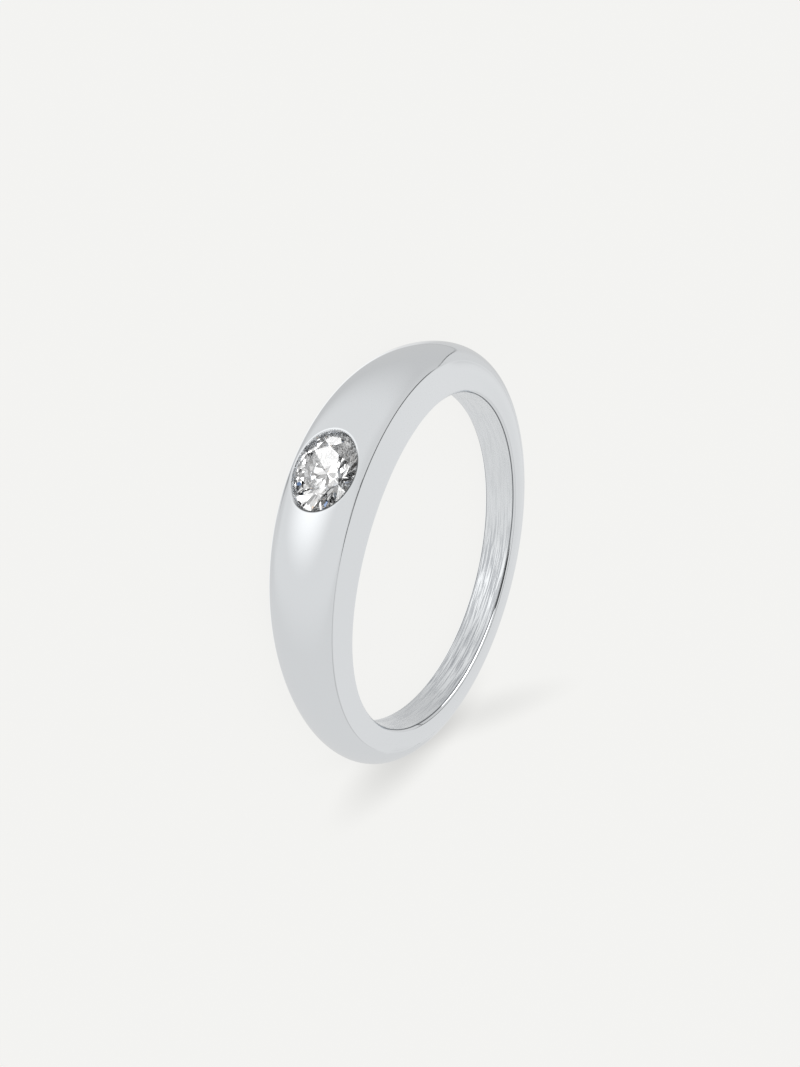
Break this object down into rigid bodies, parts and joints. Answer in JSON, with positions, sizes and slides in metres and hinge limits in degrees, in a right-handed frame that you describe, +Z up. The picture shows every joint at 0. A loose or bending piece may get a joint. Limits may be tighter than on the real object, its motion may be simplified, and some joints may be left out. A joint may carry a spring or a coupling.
{
  "type": "dome ring",
  "caption": "Domed ring in polished white metal that tapers to the back, with an oval cut stone set flush in its wide crown.",
  "frame": {"origin": "middle of the underside's bounding box, on the surface that the ring lies on", "axes": "+X points from the back of the band to the crown with the stone, +Z is up out of the side face that is on top, +Y lies across the finger hole"},
  "size_m": [0.0222, 0.0214, 0.0038],
  "materials": {
    "polished_metal": "polished, the finger hole finely brushed",
    "cut_stone": "polished facets"
  },
  "bodies": {
    "root": {"band": "polished_metal", "stone": "cut_stone"}
  },
  "joints": []
}
